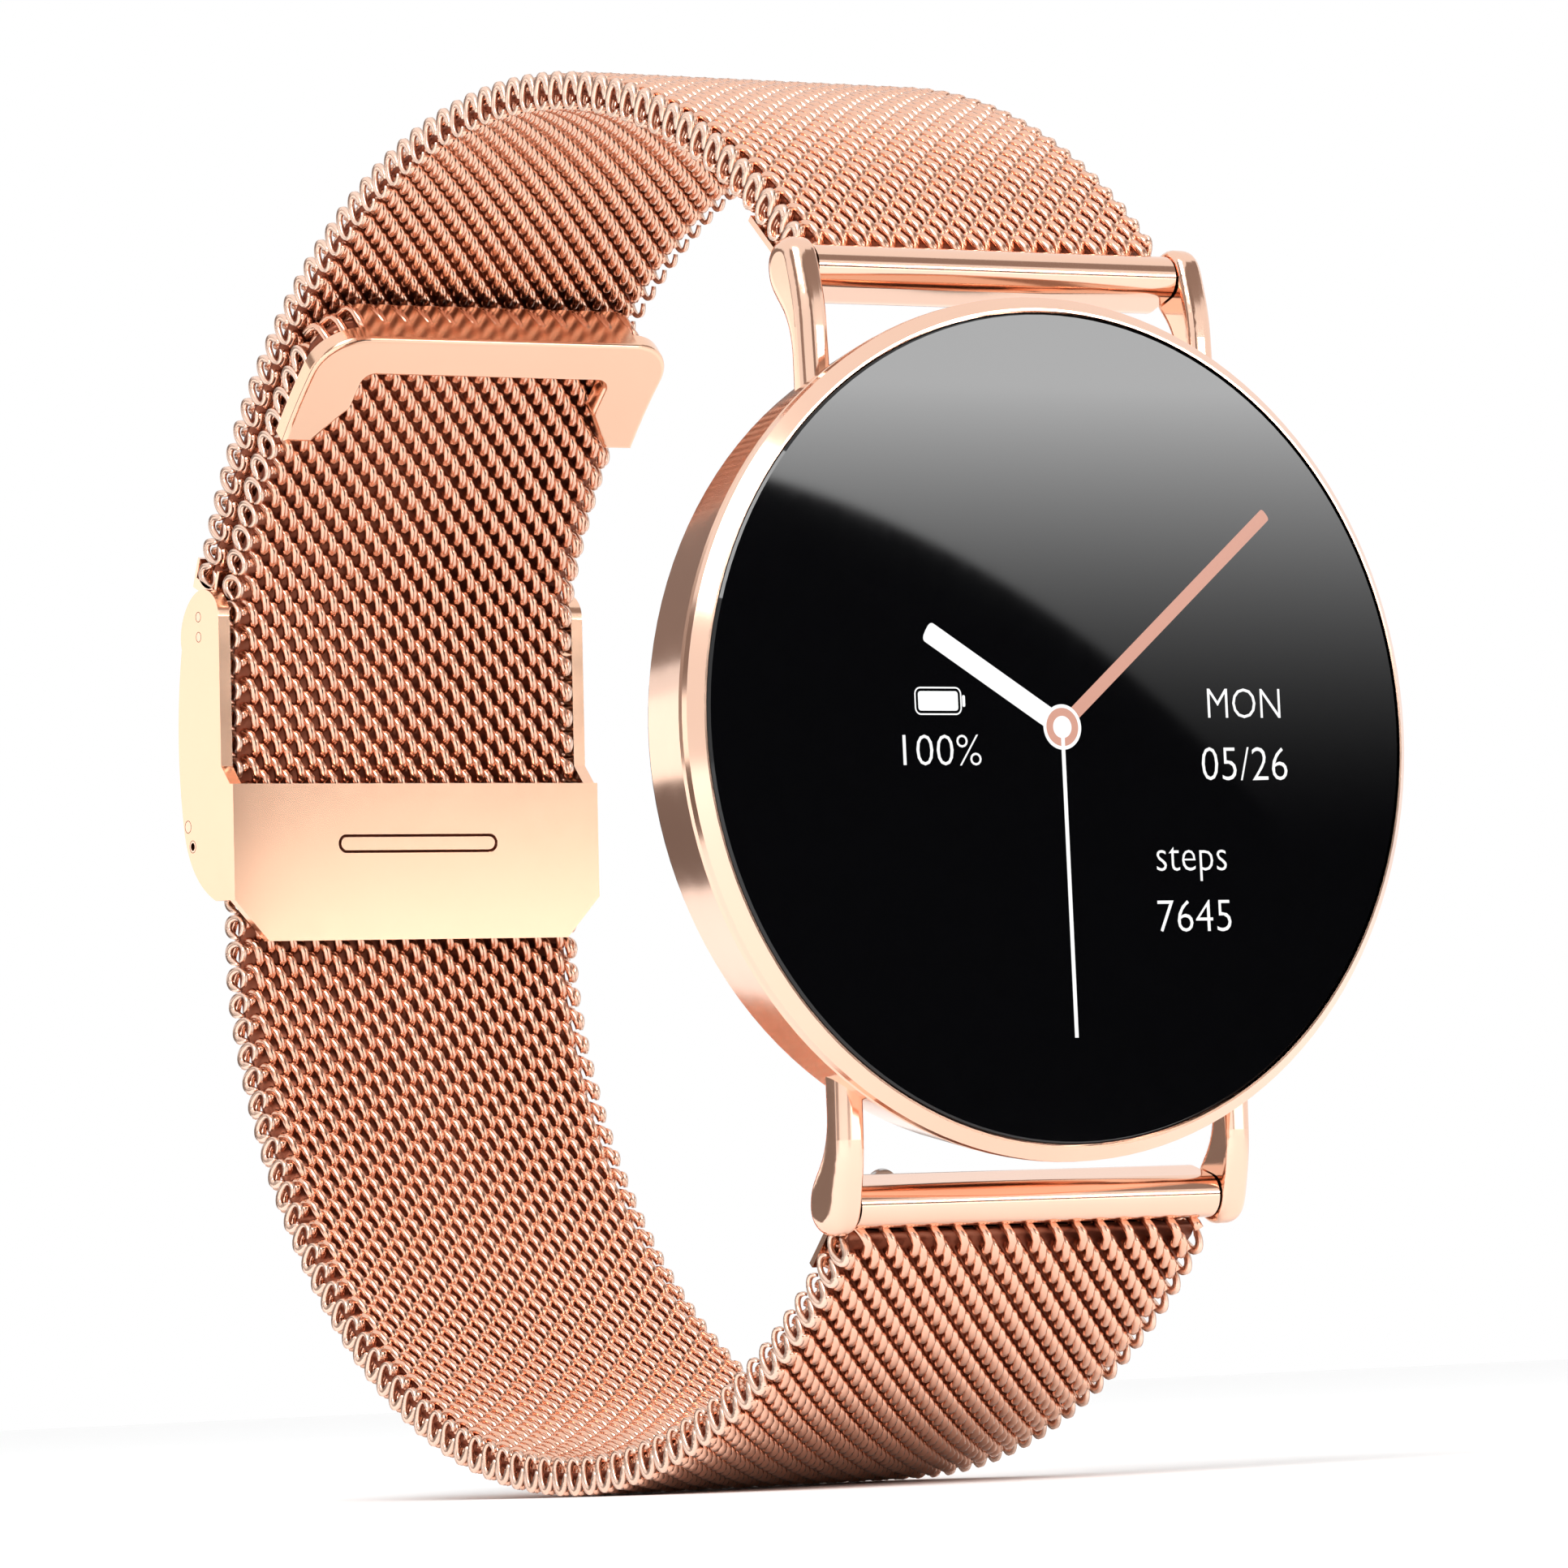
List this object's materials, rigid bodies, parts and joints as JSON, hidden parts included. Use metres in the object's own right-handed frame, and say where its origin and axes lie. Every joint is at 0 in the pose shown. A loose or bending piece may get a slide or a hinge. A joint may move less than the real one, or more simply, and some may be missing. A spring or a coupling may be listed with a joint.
{
  "type": "smartwatch",
  "caption": "Round smartwatch with four lugs and a woven wire strap closed by a sliding clasp that has a flip cover.",
  "frame": {"origin": "centre of the case back's flat face, where the watch rests on the wrist", "axes": "dial faces -Y, +Z is 12 o'clock, +X is 3 o'clock; the strap's loop lies on the +Y side"},
  "size_m": [0.0395, 0.0625, 0.0667],
  "materials": {
    "rose_gold_polished": "polished rose-gold plating on stainless steel",
    "rose_gold_mesh": "woven rose-gold stainless wire",
    "rose_gold_satin": "satin rose-gold plate",
    "black_glass": "polished, black printed behind",
    "display": "gloss",
    "black_plastic": "moulded, fine satin",
    "board_green": "solder mask",
    "battery_foil": "foil wrap",
    "motor_can": "plain can",
    "seal_rubber": "matt",
    "gold_contact": "gold plated",
    "screw_steel": "plain steel",
    "sensor_glass": "dark polished window"
  },
  "bodies": {
    "head": {"case_middle": "rose_gold_polished", "bezel_ring": "rose_gold_polished", "cover_glass": "black_glass", "display_panel": "display", "glass_seal": "seal_rubber", "main_board": "board_green", "battery": "battery_foil", "vibration_motor": "motor_can", "button_switch": "black_plastic", "sensor_window": "sensor_glass", "sensor_board": "board_green", "case_back": "black_plastic", "back_gasket": "seal_rubber", "charging_contacts": "gold_contact", "case_screws": "screw_steel"},
    "side_button": {"side_button": "rose_gold_polished"},
    "upper_strap_root": {"upper_end_tube": "rose_gold_polished", "upper_spring_bar": "screw_steel", "upper_mesh_1": "rose_gold_mesh"},
    "upper_release": {"upper_release_pin": "screw_steel"},
    "upper_strap_middle": {"upper_mesh_2": "rose_gold_mesh"},
    "upper_strap_end": {"upper_mesh_3": "rose_gold_mesh", "strap_hook": "rose_gold_polished"},
    "lower_strap_root": {"lower_end_tube": "rose_gold_polished", "lower_spring_bar": "screw_steel", "lower_mesh_1": "rose_gold_mesh"},
    "lower_release": {"lower_release_pin": "screw_steel"},
    "lower_strap_middle": {"lower_mesh_2": "rose_gold_mesh"},
    "lower_strap_rise": {"lower_mesh_3": "rose_gold_mesh"},
    "lower_strap_run": {"lower_mesh_4": "rose_gold_mesh"},
    "lower_strap_tail": {"lower_mesh_5": "rose_gold_mesh", "strap_tip": "rose_gold_satin"},
    "clasp": {"clasp_frame": "rose_gold_satin", "hook_bar": "rose_gold_polished", "cover_hinge_pin": "screw_steel", "stop_pin": "rose_gold_polished"},
    "clasp_cover": {"clasp_cover": "rose_gold_satin"}
  },
  "joints": [
    {"name": "strap_open", "type": "hinge", "parent": "head", "child": "upper_strap_root", "pos_m": [0, -0.00195, 0.021], "axis": [1, 0, 0], "range_deg": [0, 40]},
    {"name": "upper_flex_1", "type": "hinge", "parent": "upper_strap_root", "child": "upper_strap_middle", "pos_m": [0, 0.01443, 0.03104], "axis": [1, 0, 0], "range_deg": [0, 20]},
    {"name": "upper_flex_2", "type": "hinge", "parent": "upper_strap_middle", "child": "upper_strap_end", "pos_m": [0, 0.0377, 0.02914], "axis": [1, 0, 0], "range_deg": [0, 20]},
    {"name": "lower_swing", "type": "hinge", "parent": "head", "child": "lower_strap_root", "pos_m": [0, -0.00195, -0.021], "axis": [1, 0, 0], "range_deg": [-15, 0]},
    {"name": "lower_flex_1", "type": "hinge", "parent": "lower_strap_root", "child": "lower_strap_middle", "pos_m": [0, 0.01277, -0.031], "axis": [1, 0, 0], "range_deg": [-12, 0]},
    {"name": "lower_flex_2", "type": "hinge", "parent": "lower_strap_middle", "child": "lower_strap_rise", "pos_m": [0, 0.04023, -0.02744], "axis": [1, 0, 0], "range_deg": [-12, 0]},
    {"name": "lower_flex_3", "type": "hinge", "parent": "lower_strap_rise", "child": "lower_strap_run", "pos_m": [0, 0.05265, -0.00977], "axis": [1, 0, 0], "range_deg": [-8, 0]},
    {"name": "tail_flex", "type": "hinge", "parent": "lower_strap_run", "child": "lower_strap_tail", "pos_m": [0, 0.05124, 0.0131], "axis": [1, 0, 0], "range_deg": [-16, 0]},
    {"name": "side_button_press", "type": "slide", "parent": "head", "child": "side_button", "axis": [-1, 0, 0], "range_m": [0, 0.0005], "stiffness_N_per_m": 1500},
    {"name": "upper_release_pull", "type": "slide", "parent": "upper_strap_root", "child": "upper_release", "axis": [-1, 0, 0], "range_m": [0, 0.0012], "stiffness_N_per_m": 800},
    {"name": "lower_release_pull", "type": "slide", "parent": "lower_strap_root", "child": "lower_release", "axis": [1, 0, 0], "range_m": [0, 0.0012], "stiffness_N_per_m": 800},
    {"name": "clasp_slide", "type": "slide", "parent": "lower_strap_run", "child": "clasp", "axis": [0, 0.0436, -0.999], "range_m": [0, 0.0025]},
    {"name": "clasp_cover_open", "type": "hinge", "parent": "clasp", "child": "clasp_cover", "pos_m": [0, 0.05561, 0.00028], "axis": [-1, 0, 0], "range_deg": [0, 110]}
  ],
  "couplings": [
    {"joint": "upper_flex_1", "follows": "strap_open", "ratio": 0.5},
    {"joint": "upper_flex_2", "follows": "strap_open", "ratio": 0.5},
    {"joint": "lower_swing", "follows": "strap_open", "ratio": -0.375},
    {"joint": "lower_flex_1", "follows": "strap_open", "ratio": -0.3},
    {"joint": "lower_flex_2", "follows": "strap_open", "ratio": -0.3},
    {"joint": "lower_flex_3", "follows": "strap_open", "ratio": -0.2},
    {"joint": "tail_flex", "follows": "strap_open", "ratio": -0.4}
  ]
}
